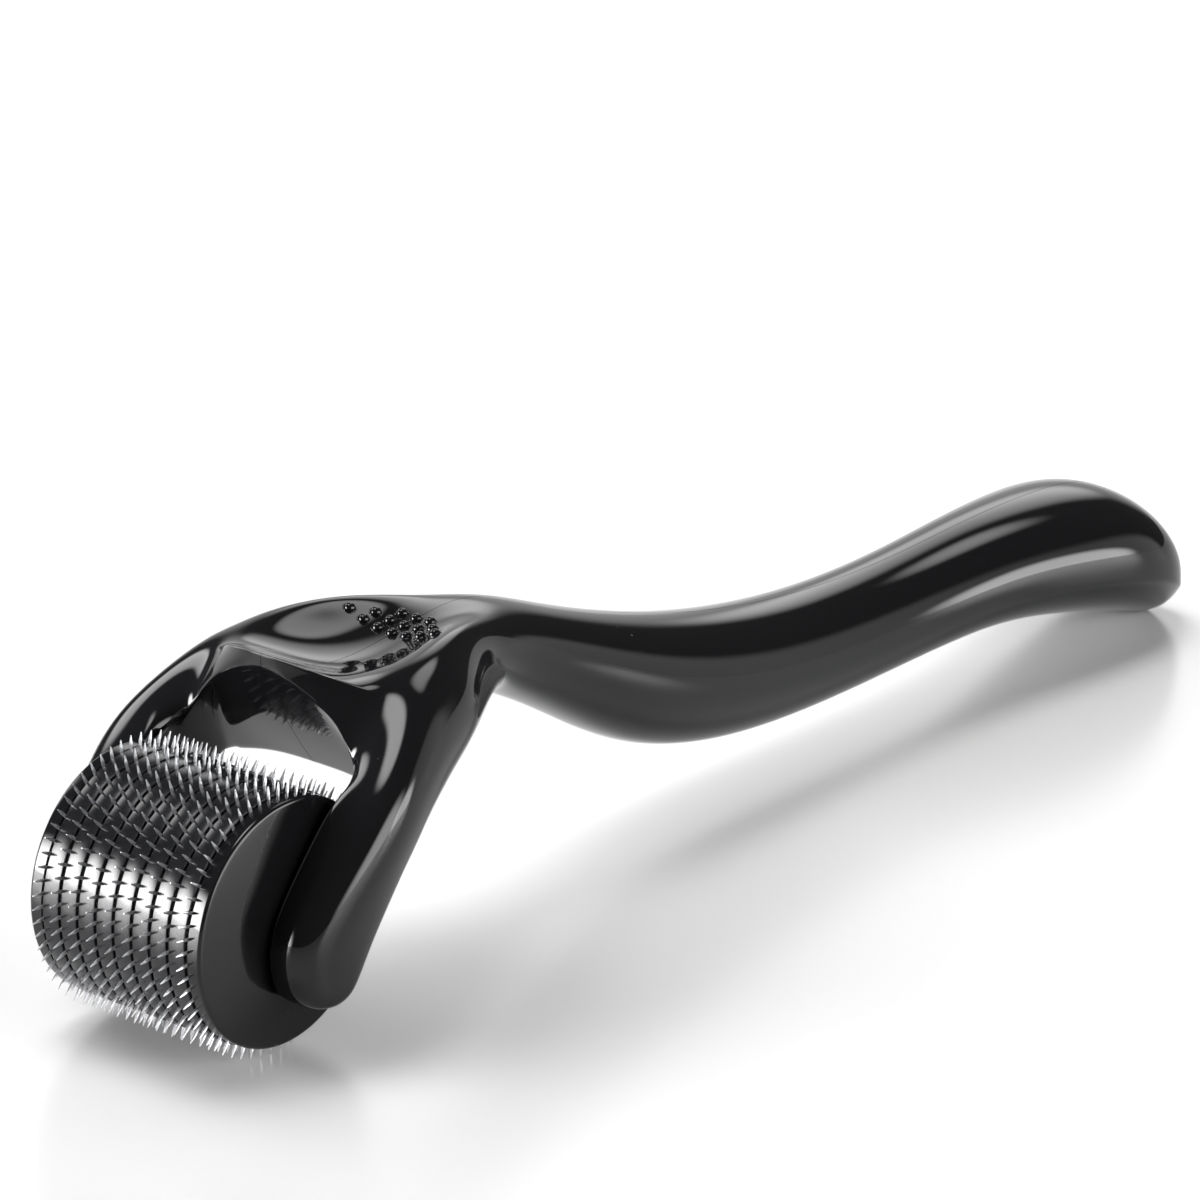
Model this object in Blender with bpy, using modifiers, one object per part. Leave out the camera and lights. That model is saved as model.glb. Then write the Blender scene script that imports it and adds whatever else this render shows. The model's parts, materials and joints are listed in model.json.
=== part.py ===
"""Derma roller: a drum of stacked needle discs, turning in the fork of a two-part moulded handle.

The model stands as it rests on a table: the needle tips and the tail of the handle touch z = 0.
The drum's axis runs along Y.  The handle runs from the drum towards +X.  The handle is moulded
as a left and a right half that meet on the plane y = 0 and trap the drum's stub pins.
"""

import math

import bmesh
import bpy
from mathutils import Vector
from mathutils.bvhtree import BVHTree

MM = 0.001
TURN = 2.0 * math.pi

# ---------------------------------------------------------------- driving dimensions
# Drum
DRUM_RADIUS = 10.25 * MM
NEEDLE_LENGTH = 1.0 * MM
NEEDLE_WIDTH = 0.24 * MM
NEEDLE_ROWS = 9
NEEDLES_PER_ROW = 60
ROW_PITCH = 1.87 * MM
DISC_THICKNESS = 0.20 * MM
STACK_GAP = 0.04 * MM
GROOVE_DEPTH = 0.10 * MM
# Each disc is stamped with its own phase, so that the rows do not follow one another.
ROW_PHASES_DEG = (3.7, 0.4, 0.5, 5.9, 1.4, 4.6, 4.9, 1.8, 5.6)

CORE_RADIUS = 7.5 * MM
CORE_FLAT = 7.1 * MM
CORE_WALL = 1.6 * MM
BORE_GAP = 0.06 * MM
SPACER_EDGE = 0.14 * MM

CAP_RIM_LENGTH = 1.25 * MM
CAP_RIM_STEP = 0.1 * MM
CAP_DOME = 0.5 * MM
CAP_SPIGOT = 2.0 * MM
CAP_EDGE = 0.3 * MM
PIN_RADIUS = 1.5 * MM
PIN_LENGTH = 2.9 * MM
PIN_EDGE = 0.3 * MM
PIN_CLEARANCE = 0.08 * MM
SOCKET_END_GAP = 0.3 * MM

# Handle
HANDLE_REACH = 127.1 * MM
NECK_REACH = 31.5 * MM
ARM_THICKNESS = 4.3 * MM
ARM_GAP = 0.3 * MM
LIP_HALF_WIDTH = 8.8 * MM
HANDLE_WALL = 2.2 * MM
PARTING_GAP = 0.05 * MM

PEG_RADIUS = 1.0 * MM
PEG_LENGTH = 2.2 * MM
PEG_CLEARANCE = 0.08 * MM
POST_RADIUS = 2.0 * MM
POST_SHARES = (0.25, 0.5, 0.78)

DOT_RADIUS = 0.52 * MM
DOT_PITCH = 1.48 * MM
DOT_FIRST_ROW = 22.5 * MM
DOT_ROW_COUNTS = (7, 5, 3)

# Grip stations: share of the way from neck to tail, then top, bottom and half width in mm.
# Heights are measured from a line that falls from the drum's axis at the neck to the table.
GRIP_STATIONS = (
    (0.00, 16.5, 8.4, 4.7),
    (0.10, 13.6, 4.5, 4.9),
    (0.20, 11.2, -0.6, 6.1),
    (0.32, 9.3, -2.1, 6.4),
    (0.46, 8.7, -1.2, 5.8),
    (0.60, 9.9, 0.6, 5.5),
    (0.72, 11.9, 2.2, 6.1),
    (0.82, 13.0, 1.8, 7.6),
    (0.91, 13.2, 0.7, 8.8),
    (0.97, 10.5, -0.6, 7.5),
    (1.00, 6.4, -0.7, 4.4),
)
CREASE_FROM_SHARE = 0.72
TAIL_CREASE = 0.7

# Crotch of the fork.  A point is an angle about the drum's axis in degrees, its distance outside
# the needle tips in mm, and its distance from the middle plane as a share of the station's width.
DISH_BACK = (
    (32.1, 17.5, 0.00),
    (32.9, 17.8, 0.42),
    (35.0, 19.0, 0.80),
    (32.3, 18.2, 1.02),
    (21.0, 18.4, 1.05),
    (17.0, 18.2, 0.75),
    (17.4, 18.0, 0.40),
    (17.4, 18.0, 0.00),
)
DISH_BACK_HALF_WIDTH = 6.6 * MM
DISH_MIDDLE = (
    (38.2, 12.2, 0.00),
    (39.4, 12.4, 0.40),
    (43.4, 13.9, 0.76),
    (40.6, 13.5, 1.02),
    (24.2, 14.4, 1.06),
    (21.6, 10.6, 0.76),
    (24.0, 10.3, 0.40),
    (24.2, 10.3, 0.00),
)
DISH_MIDDLE_HALF_WIDTH = 9.8 * MM
DISH_FRONT = (
    (48.9, 8.2, 0.00),
    (50.4, 8.8, 0.43),
    (51.5, 9.6, 0.84),
    (44.8, 10.7, 1.26),
    (24.6, 11.2, 1.24),
    (21.4, 7.0, 0.89),
    (25.0, 7.07, 0.45),
    (25.0, 7.07, 0.00),
)
DISH_FRONT_HALF_WIDTH = 9.3 * MM
# Top edge of the lip and lower edge of the web, with the arm's outer side between them.
LIP_STATION = (
    (71.2, 8.2, 0.00),
    (65.5, 7.8, 0.52),
    (51.0, 8.1, 1.00),
    (51.0, 7.9, 1.50),
    (25.4, 8.0, 1.42),
    (22.0, 3.5, 1.04),
    (27.5, 3.7, 0.52),
    (27.5, 3.7, 0.00),
)
LIP_UNDERSIDE = ((68.7, 7.2, 0.00), (65.5, 6.3, 0.42), (59.6, 4.9, 0.76))
WEB_HOLLOW = ((46.2, 3.6, 0.00), (46.2, 3.6, 0.48), (47.0, 3.7, 0.84))

# Arm stations from fork to tip: share of the way from the pivot to the fork's root, distance
# above that line, half depth (mm), the angle of the section's front-to-back line, and how far
# the front outer edge flares beyond the arm's side (mm).
ARM_ROOT = (38.5, 6.1)
ARM_STATIONS = (
    (0.71, 0.5, 4.6, -35.0, 2.2),
    (0.45, -0.2, 4.9, -26.0, 2.3),
    (0.23, -1.1, 5.3, -19.0, 1.6),
    (0.04, -2.1, 5.5, -12.0, 0.7),
    (-0.09, -3.9, 4.3, -5.0, 0.0),
    (-0.20, -5.5, 2.2, -2.0, 0.0),
)
ARM_EDGE_CREASES = (0.5, 0.0, 0.15, 0.5)
LIP_CREASE = 0.9
GUSSET_CREASE = 0.6
RIM_CREASE = 0.2
WEB_EDGE_CREASE = 0.9
SURFACE_LEVELS = 1
CAVITY_SHARES = (0.15, 0.85)

# ---------------------------------------------------------------- values that follow
TIP_RADIUS = DRUM_RADIUS + NEEDLE_LENGTH
OVERALL_LENGTH = TIP_RADIUS + HANDLE_REACH
AXIS = Vector((TIP_RADIUS - OVERALL_LENGTH / 2, 0.0, TIP_RADIUS))

FIRST_ROW_Y = -(NEEDLE_ROWS - 1) / 2 * ROW_PITCH
SPACER_LENGTH = ROW_PITCH - DISC_THICKNESS - 2 * STACK_GAP
STACK_END = -FIRST_ROW_Y + DISC_THICKNESS / 2
CAP_BASE = STACK_END + STACK_GAP
CAP_FACE = CAP_BASE + CAP_RIM_LENGTH
CAP_CROWN = CAP_FACE + CAP_DOME
PIN_END = CAP_CROWN + PIN_LENGTH
ARM_INNER = CAP_CROWN + ARM_GAP
ARM_OUTER = ARM_INNER + ARM_THICKNESS
CORE_BORE = CORE_RADIUS - CORE_WALL

# The posts end inside the side wall, wherever the grip is narrowest.
POST_REACH = min(station[3] for station in GRIP_STATIONS) * MM - HANDLE_WALL / 2

# A cage section has RING_POINTS points from top to bottom of one side, and stands a little
# outside the smooth surface that it makes.
RING_POINTS = 8
RING_STEP = math.pi / (RING_POINTS - 1)
CAGE_SWELL = 6.0 / (4.0 + 2.0 * math.cos(RING_STEP))


# ---------------------------------------------------------------- scene helpers
def clear_scene():
    """Remove every object that the file opened with."""
    for item in list(bpy.data.objects):
        bpy.data.objects.remove(item, do_unlink=True)


def new_collection(name):
    group = bpy.data.collections.new(name)
    bpy.context.scene.collection.children.link(group)
    return group


def new_material(name, colour, roughness, metallic):
    material = bpy.data.materials.new(name)
    material.use_nodes = True
    shader = material.node_tree.nodes["Principled BSDF"]
    shader.inputs["Base Color"].default_value = (*colour, 1.0)
    shader.inputs["Roughness"].default_value = roughness
    shader.inputs["Metallic"].default_value = metallic
    return material


def add_object(name, mesh, group, material=None):
    item = bpy.data.objects.new(name, mesh)
    group.objects.link(item)
    if material:
        mesh.materials.append(material)
    return item


def as_guide(item):
    """Mark an object as a cutter or guide, which is not a part."""
    item.hide_render = True
    item.display_type = "WIRE"
    return item


# ---------------------------------------------------------------- shapes
def turned(name, profile, closed, steps, group, material):
    """Turn (radius, height) points about Z, given from the top down the outer side."""
    mesh = bpy.data.meshes.new(name)
    links = [(i, i + 1) for i in range(len(profile) - 1)]
    if closed:
        links.append((len(profile) - 1, 0))
    mesh.from_pydata([(radius, 0.0, height) for radius, height in profile], links, [])
    item = add_object(name, mesh, group, material)
    screw = item.modifiers.new("turn", "SCREW")
    screw.axis = "Z"
    screw.angle = TURN
    screw.steps = steps
    screw.render_steps = steps
    screw.use_merge_vertices = True
    screw.merge_threshold = 0.00001
    screw.use_smooth_shade = True
    return item


def flat_plate(name, outlines, thickness, group, material):
    """Fill 2D outlines (the later ones are holes) and give the plate its thickness along Z."""
    curve = bpy.data.curves.new(name, "CURVE")
    curve.dimensions = "2D"
    curve.fill_mode = "BOTH"
    curve.extrude = thickness / 2
    for outline in outlines:
        spline = curve.splines.new("POLY")
        spline.points.add(len(outline) - 1)
        for point, (x, y) in zip(spline.points, outline):
            point.co = (x, y, 0.0, 1.0)
        spline.use_cyclic_u = True
    source = bpy.data.objects.new(name, curve)
    mesh = bpy.data.meshes.new_from_object(source)
    bpy.data.objects.remove(source, do_unlink=True)
    form = bmesh.new()
    form.from_mesh(mesh)
    bmesh.ops.remove_doubles(form, verts=form.verts, dist=0.000001)
    bmesh.ops.recalc_face_normals(form, faces=form.faces)
    form.to_mesh(mesh)
    form.free()
    mesh.name = name
    return add_object(name, mesh, group, material)


def box(name, lower, upper, group):
    form = bmesh.new()
    bmesh.ops.create_cube(form, size=1.0)
    for vert in form.verts:
        vert.co = [low if share < 0 else high for share, low, high in zip(vert.co, lower, upper)]
    mesh = bpy.data.meshes.new(name)
    form.to_mesh(mesh)
    form.free()
    return as_guide(add_object(name, mesh, group))


def rods_along_y(name, centres, radius, start, end, group, segments=20):
    """Cylinders along Y at each (x, z) centre, between two values of y."""
    form = bmesh.new()
    for x, z in centres:
        made = bmesh.ops.create_cone(
            form, cap_ends=True, segments=segments, radius1=radius, radius2=radius, depth=end - start
        )
        for vert in made["verts"]:
            across, along, height = vert.co
            vert.co = (x + across, (start + end) / 2 + height, z - along)
    mesh = bpy.data.meshes.new(name)
    form.to_mesh(mesh)
    form.free()
    return as_guide(add_object(name, mesh, group))


def combine(item, operation, tool):
    cut = item.modifiers.new(tool.name, "BOOLEAN")
    cut.operation = operation
    cut.solver = "EXACT"
    cut.object = tool
    return cut


# ---------------------------------------------------------------- drum
def keyed_outline(radius, flat, steps=8):
    """A circle with two flats, one at each end of its X diameter."""
    corner = math.acos(flat / radius)
    outline = []
    for first in (corner, math.pi + corner):
        for step in range(steps + 1):
            angle = first + (math.pi - 2 * corner) * step / steps
            outline.append((radius * math.cos(angle), radius * math.sin(angle)))
    return outline


def circle_outline(radius, steps):
    angles = [TURN * step / steps for step in range(steps)]
    return [(radius * math.cos(angle), radius * math.sin(angle)) for angle in angles]


def needle_outline(phase):
    """Outer edge of a disc: a pointed needle on a round body, repeated round the circle."""
    body_radius = DRUM_RADIUS - GROOVE_DEPTH
    half_root = NEEDLE_WIDTH / 2 / body_radius
    outline = []
    for index in range(NEEDLES_PER_ROW):
        angle = phase + TURN * index / NEEDLES_PER_ROW
        needle = ((angle - half_root, body_radius), (angle, TIP_RADIUS), (angle + half_root, body_radius))
        outline += [(radius * math.cos(turn), radius * math.sin(turn)) for turn, radius in needle]
    return outline


def mount_on_axis(item, axis_empty, y=0.0, facing=1):
    """Put a piece made about local Z on the drum's axis, its top towards +Y or -Y."""
    item.parent = axis_empty
    item.location = (0.0, y, 0.0)
    item.rotation_euler = (-math.pi / 2 * facing, 0.0, 0.0)


def build_discs(axis_empty, group, steel):
    bore = keyed_outline(CORE_RADIUS + BORE_GAP, CORE_FLAT + BORE_GAP)
    for row in range(NEEDLE_ROWS):
        phase = math.radians(ROW_PHASES_DEG[row % len(ROW_PHASES_DEG)])
        outlines = (needle_outline(phase), bore)
        disc = flat_plate(f"needle_disc_{row + 1}", outlines, DISC_THICKNESS, group, steel)
        mount_on_axis(disc, axis_empty, FIRST_ROW_Y + row * ROW_PITCH, facing=-1)


def build_spacers(axis_empty, group, plastic):
    half = SPACER_LENGTH / 2
    bore = CORE_RADIUS + BORE_GAP
    profile = (
        (DRUM_RADIUS - SPACER_EDGE, half),
        (DRUM_RADIUS, half - SPACER_EDGE),
        (DRUM_RADIUS, SPACER_EDGE - half),
        (DRUM_RADIUS - SPACER_EDGE, -half),
        (bore, -half),
        (bore, half),
    )
    for index in range(NEEDLE_ROWS - 1):
        ring = turned(f"spacer_ring_{index + 1}", profile, True, 36, group, plastic)
        mount_on_axis(ring, axis_empty, FIRST_ROW_Y + (index + 0.5) * ROW_PITCH)


def build_core(axis_empty, group, plastic):
    outlines = (keyed_outline(CORE_RADIUS, CORE_FLAT), circle_outline(CORE_BORE, 28))
    core = flat_plate("roller_core", outlines, 2 * STACK_END, group, plastic)
    mount_on_axis(core, axis_empty)


def cap_profile():
    """End cap with its stub pin, from the pin's end down to the spigot inside the core."""
    rim = DRUM_RADIUS - CAP_RIM_STEP
    spigot = CORE_BORE - BORE_GAP
    dome = [
        (rim * share, CAP_FACE + CAP_DOME * (1.0 - share**2)) for share in (0.35, 0.6, 0.8)
    ]
    return [
        (0.0, PIN_END),
        (PIN_RADIUS - PIN_EDGE, PIN_END),
        (PIN_RADIUS, PIN_END - PIN_EDGE),
        (PIN_RADIUS, CAP_CROWN),
        *dome,
        (rim - CAP_EDGE, CAP_FACE),
        (rim, CAP_FACE - CAP_EDGE),
        (rim, CAP_BASE),
        (spigot, CAP_BASE),
        (spigot, CAP_BASE - CAP_SPIGOT),
        (0.0, CAP_BASE - CAP_SPIGOT),
    ]


def build_caps(axis_empty, group, plastic):
    for name, facing in (("left_end_cap", -1), ("right_end_cap", 1)):
        cap = turned(name, cap_profile(), False, 36, group, plastic)
        mount_on_axis(cap, axis_empty, facing=facing)


# ---------------------------------------------------------------- handle
def grip_place(share, height):
    """Centre-plane point of the grip: share of the way to the tail, height in mm above its line."""
    x = NECK_REACH + share * (HANDLE_REACH - NECK_REACH)
    return x, AXIS.z * (1.0 - share) + height * MM


def grip_section(share, top, bottom, half_width, inset=0.0):
    """Half of a rounded section, from its top to its bottom on the -Y side."""
    x, high = grip_place(share, top)
    low = grip_place(share, bottom)[1]
    middle = (high + low) / 2
    rise = (high - low) / 2 - inset
    width = half_width * MM - inset
    section = []
    for index in range(RING_POINTS):
        angle = math.pi / 2 - index * RING_STEP
        y = -width * math.cos(angle) * CAGE_SWELL
        section.append(Vector((x, y, middle + rise * math.sin(angle) * CAGE_SWELL)))
    section[0].y = 0.0
    section[-1].y = 0.0
    return section


def about_drum(angle, distance, y):
    """Point given by its angle about the drum's axis and its distance outside the needle tips."""
    reach = TIP_RADIUS + distance * MM
    turn = math.radians(angle)
    return Vector((reach * math.cos(turn), -y, AXIS.z + reach * math.sin(turn)))


def crotch_section(points, half_width):
    return [about_drum(angle, distance, share * half_width) for angle, distance, share in points]


def arm_sections():
    """Six-sided sections of the arm, from the fork to the tip."""
    pivot = Vector((0.0, 0.0, AXIS.z))
    root = about_drum(*ARM_ROOT, 0.0)
    along = root - pivot
    above = Vector((-along.z, 0.0, along.x)).normalized()
    sections = []
    for share, bow, half_depth, tilt, flare in ARM_STATIONS:
        centre = pivot + along * share + above * bow * MM
        lean = math.radians(tilt)
        back = Vector((math.cos(lean), 0.0, math.sin(lean))) * half_depth * MM
        inner = Vector((0.0, -ARM_INNER, 0.0))
        outer = Vector((0.0, -ARM_OUTER, 0.0))
        flared = Vector((0.0, -ARM_OUTER - flare * MM, 0.0))
        sections.append(
            [
                centre - back + inner,
                centre - back + flared,
                centre + back * 0.72 + outer,
                centre + back + inner,
                centre + back * 0.4 + inner,
                centre - back * 0.4 + inner,
            ]
        )
    return sections


class Cage:
    """Quads of one half of a smooth form, open on the middle plane."""

    def __init__(self):
        self.form = bmesh.new()
        self.crease = self.form.edges.layers.float.new("crease_edge")

    def points(self, places):
        return [self.form.verts.new(place) for place in places]

    def band(self, first, second):
        """Quads between two rows of points."""
        for index in range(len(first) - 1):
            corners = (first[index], first[index + 1], second[index + 1], second[index])
            self.form.faces.new(corners)

    def end(self, row):
        """Close a half section with quads from side to middle."""
        last = len(row) - 1
        for index in range(last // 2):
            corners = (row[index], row[index + 1], row[last - index - 1], row[last - index])
            self.form.faces.new(corners)

    def sharpen(self, row, weight):
        for first, second in zip(row, row[1:]):
            edge = self.form.edges.get((first, second))
            edge[self.crease] = weight

    def finish(self, name, group, levels):
        bmesh.ops.recalc_face_normals(self.form, faces=self.form.faces)
        mesh = bpy.data.meshes.new(name)
        self.form.to_mesh(mesh)
        self.form.free()
        item = add_object(name, mesh, group)
        mirror = item.modifiers.new("other_side", "MIRROR")
        mirror.use_axis = (False, True, False)
        mirror.merge_threshold = 0.00001
        smooth = item.modifiers.new("smooth", "SUBSURF")
        smooth.levels = levels
        smooth.render_levels = levels
        return item


def build_outer_form(name, group):
    """The whole handle as one smooth closed form, before it is parted into halves."""
    cage = Cage()
    grip = [cage.points(grip_section(*station)) for station in reversed(GRIP_STATIONS)]
    back = cage.points(crotch_section(DISH_BACK, DISH_BACK_HALF_WIDTH))
    middle = cage.points(crotch_section(DISH_MIDDLE, DISH_MIDDLE_HALF_WIDTH))
    front = cage.points(crotch_section(DISH_FRONT, DISH_FRONT_HALF_WIDTH))
    lip = cage.points(crotch_section(LIP_STATION, LIP_HALF_WIDTH))
    lip_under = cage.points(crotch_section(LIP_UNDERSIDE, LIP_HALF_WIDTH))
    hollow = cage.points(crotch_section(WEB_HOLLOW, LIP_HALF_WIDTH))

    cage.end(grip[0])
    rows = grip + [back, middle, front, lip]
    for first, second in zip(rows, rows[1:]):
        cage.band(first, second)
    web_edge = [lip[7], lip[6], lip[5]]
    cage.band(lip[:3], lip_under)
    cage.band(lip_under, hollow)
    cage.band(hollow, web_edge)

    ring = [lip[2], lip[3], lip[4], lip[5], hollow[2], lip_under[2]]
    arm_rings = [ring] + [cage.points(section) for section in arm_sections()]
    for first, second in zip(arm_rings, arm_rings[1:]):
        cage.band(first + first[:1], second + second[:1])
    tip = arm_rings[-1]
    cage.form.faces.new(tip[:4])
    cage.form.faces.new((tip[0], tip[3], tip[4], tip[5]))

    cage.sharpen(lip[:3], LIP_CREASE)
    cage.sharpen(lip_under, LIP_CREASE)
    cage.sharpen(web_edge, WEB_EDGE_CREASE)
    cage.sharpen([lip[2], front[2], middle[2], back[2]], RIM_CREASE)
    for corner, weight in enumerate(ARM_EDGE_CREASES):
        run = arm_rings if corner == 3 else arm_rings[1:]
        cage.sharpen([section[corner] for section in run], weight)
    cage.sharpen([lip_under[2], arm_rings[1][5]], GUSSET_CREASE)
    tail = [row for row, station in zip(grip, reversed(GRIP_STATIONS)) if station[0] >= CREASE_FROM_SHARE]
    cage.sharpen([row[4] for row in tail], TAIL_CREASE)
    return cage.finish(name, group, SURFACE_LEVELS)


def build_cavity(name, group):
    """The hollow inside the grip: the same stations, set in by the wall."""
    cage = Cage()
    hollow = [station for station in GRIP_STATIONS if CAVITY_SHARES[0] <= station[0] <= CAVITY_SHARES[1]]
    rows = [cage.points(grip_section(*station, inset=HANDLE_WALL)) for station in reversed(hollow)]
    for first, second in zip(rows, rows[1:]):
        cage.band(first, second)
    cage.end(rows[0])
    cage.end(rows[-1])
    return as_guide(cage.finish(name, group, SURFACE_LEVELS))


def build_dots(name, form, group):
    """Grip dots: balls half sunk in the thumb dish, in rows that shorten towards the neck."""
    bpy.context.view_layer.update()
    surface = BVHTree.FromObject(form, bpy.context.evaluated_depsgraph_get())
    dots = bmesh.new()
    for row, count in enumerate(DOT_ROW_COUNTS):
        x = DOT_FIRST_ROW + row * DOT_PITCH
        for index in range(count):
            y = (index - (count - 1) / 2) * DOT_PITCH
            above = Vector((x, y, HANDLE_REACH))
            seat = surface.ray_cast(above, Vector((0.0, 0.0, -1.0)))[0]
            made = bmesh.ops.create_icosphere(dots, subdivisions=2, radius=DOT_RADIUS)
            bmesh.ops.translate(dots, verts=made["verts"], vec=seat)
    mesh = bpy.data.meshes.new(name)
    dots.to_mesh(mesh)
    dots.free()
    return as_guide(add_object(name, mesh, group))


def post_centres():
    """Places on the middle plane, inside the grip, where posts join the two halves."""
    centres = []
    for share in POST_SHARES:
        before = max((station for station in GRIP_STATIONS if station[0] <= share), key=lambda s: s[0])
        after = min((station for station in GRIP_STATIONS if station[0] > share), key=lambda s: s[0])
        blend = (share - before[0]) / (after[0] - before[0])
        height = sum((1.0 - blend) * low + blend * high for low, high in zip(before[1:3], after[1:3])) / 2
        centres.append(grip_place(share, height))
    return centres


def build_halves(parts, guides, plastic):
    """Part the smooth form into a left and a right half, with posts, pegs and pin sockets."""
    form = as_guide(build_outer_form("handle_form", guides))
    cavity = build_cavity("handle_cavity", guides)
    dots = build_dots("grip_dot_balls", form, guides)
    beyond = 2 * HANDLE_REACH
    table = box("table_below", (-beyond, -beyond, -beyond), (beyond, beyond, 0.0), guides)
    posts = post_centres()
    pivot = [(0.0, AXIS.z)]
    peg_reach = PARTING_GAP / 2 + PEG_LENGTH
    for name, side in (("handle_left_half", -1), ("handle_right_half", 1)):
        half = add_object(name, form.data.copy(), parts, plastic)
        for source in form.modifiers:
            copy = half.modifiers.new(source.name, source.type)
            if source.type == "MIRROR":
                copy.use_axis = source.use_axis
                copy.merge_threshold = source.merge_threshold
            else:
                copy.levels = source.levels
                copy.render_levels = source.render_levels

        def rods(label, centres, radius, near, far):
            start, end = sorted((near * side, far * side))
            return rods_along_y(f"{name}_{label}", centres, radius, start, end, guides)

        combine(half, "UNION", dots)
        combine(half, "DIFFERENCE", cavity)
        combine(half, "UNION", rods("posts", posts, POST_RADIUS, 0.0, POST_REACH))
        edges = sorted((side * PARTING_GAP / 2, -side * beyond))
        other_side = box(
            f"{name}_other_side", (-beyond, edges[0], -beyond), (beyond, edges[1], beyond), guides
        )
        combine(half, "DIFFERENCE", other_side)
        combine(half, "DIFFERENCE", table)
        socket = PIN_RADIUS + PIN_CLEARANCE
        far_end = PIN_END + SOCKET_END_GAP
        combine(half, "DIFFERENCE", rods("pin_socket", pivot, socket, CAP_CROWN, far_end))
        if side < 0:
            combine(half, "UNION", rods("pegs", posts, PEG_RADIUS, -peg_reach, PEG_LENGTH / 2))
        else:
            hole = PEG_RADIUS + PEG_CLEARANCE
            depth = peg_reach + PEG_CLEARANCE
            combine(half, "DIFFERENCE", rods("peg_holes", posts, hole, -PEG_LENGTH, depth))
        half.data.shade_smooth()
        half.location.x = AXIS.x
    for guide in guides.objects:
        guide.location.x = AXIS.x


def main():
    clear_scene()
    parts = new_collection("derma_roller")
    guides = new_collection("guides")
    black = (0.012, 0.012, 0.013)
    steel = new_material("needle_steel", (0.72, 0.72, 0.74), 0.22, 1.0)
    ring_plastic = new_material("ring_plastic", (0.03, 0.03, 0.032), 0.12, 0.0)
    cap_plastic = new_material("cap_plastic", black, 0.1, 0.0)
    core_plastic = new_material("core_plastic", (0.1, 0.1, 0.1), 0.4, 0.0)
    handle_plastic = new_material("handle_plastic", black, 0.08, 0.0)

    axis_empty = bpy.data.objects.new("roller_axis", None)
    parts.objects.link(axis_empty)
    axis_empty.location = AXIS
    build_discs(axis_empty, parts, steel)
    build_spacers(axis_empty, parts, ring_plastic)
    build_core(axis_empty, parts, core_plastic)
    build_caps(axis_empty, parts, cap_plastic)
    build_halves(parts, guides, handle_plastic)


main()
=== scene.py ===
"""Derma roller: a glossy black handle whose fork carries a freely turning drum of needle rows.

The frame gives the drum's axis, the rows, the rings and the caps.  Each class below builds one
sub-assembly in that frame, dresses it and lets it ride on its body.
"""

import json
import logging
import math
from dataclasses import dataclass, field
from enum import Enum
from typing import Optional

import bmesh
import bpy
from mathutils import Matrix, Vector


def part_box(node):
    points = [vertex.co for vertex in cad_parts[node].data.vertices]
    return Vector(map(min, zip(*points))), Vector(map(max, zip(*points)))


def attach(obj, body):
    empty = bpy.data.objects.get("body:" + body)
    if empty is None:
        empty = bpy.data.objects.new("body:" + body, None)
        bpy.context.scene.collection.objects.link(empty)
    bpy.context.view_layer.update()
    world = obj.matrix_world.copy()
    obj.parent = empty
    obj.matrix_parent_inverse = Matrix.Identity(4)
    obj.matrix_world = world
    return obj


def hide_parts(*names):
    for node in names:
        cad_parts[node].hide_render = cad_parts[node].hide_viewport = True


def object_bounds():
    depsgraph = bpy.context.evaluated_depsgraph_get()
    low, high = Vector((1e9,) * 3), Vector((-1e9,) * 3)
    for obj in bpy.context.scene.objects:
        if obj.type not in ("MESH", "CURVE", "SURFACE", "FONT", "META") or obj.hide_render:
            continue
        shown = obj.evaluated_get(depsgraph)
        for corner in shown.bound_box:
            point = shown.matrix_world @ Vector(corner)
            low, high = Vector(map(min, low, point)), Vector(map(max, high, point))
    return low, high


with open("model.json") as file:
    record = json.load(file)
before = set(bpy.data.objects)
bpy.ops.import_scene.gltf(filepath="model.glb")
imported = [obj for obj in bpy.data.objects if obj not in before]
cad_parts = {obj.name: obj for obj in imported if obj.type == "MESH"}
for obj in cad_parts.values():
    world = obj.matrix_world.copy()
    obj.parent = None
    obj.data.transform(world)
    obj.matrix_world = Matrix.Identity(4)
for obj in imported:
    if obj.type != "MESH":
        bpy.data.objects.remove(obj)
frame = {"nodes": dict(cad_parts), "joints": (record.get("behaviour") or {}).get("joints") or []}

CAD_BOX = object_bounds()
MM = 0.001
TURN = 2.0 * math.pi
SHARP_ANGLE = math.radians(34.0)
DRUM_AXIS = Vector(frame["joints"][0]["pos_m"])
DUST_COLOUR = (0.35, 0.34, 0.33, 1.0)
RING_SIDES = 120
RING_EDGE_STEPS = 3

log = logging.getLogger("derma_roller")


class Body(Enum):
    """The two bodies of the frame."""

    HANDLE = "handle"
    ROLLER = "roller"


class Side(Enum):
    """Which side of the middle plane a piece stands on."""

    LEFT = -1
    RIGHT = 1


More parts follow.
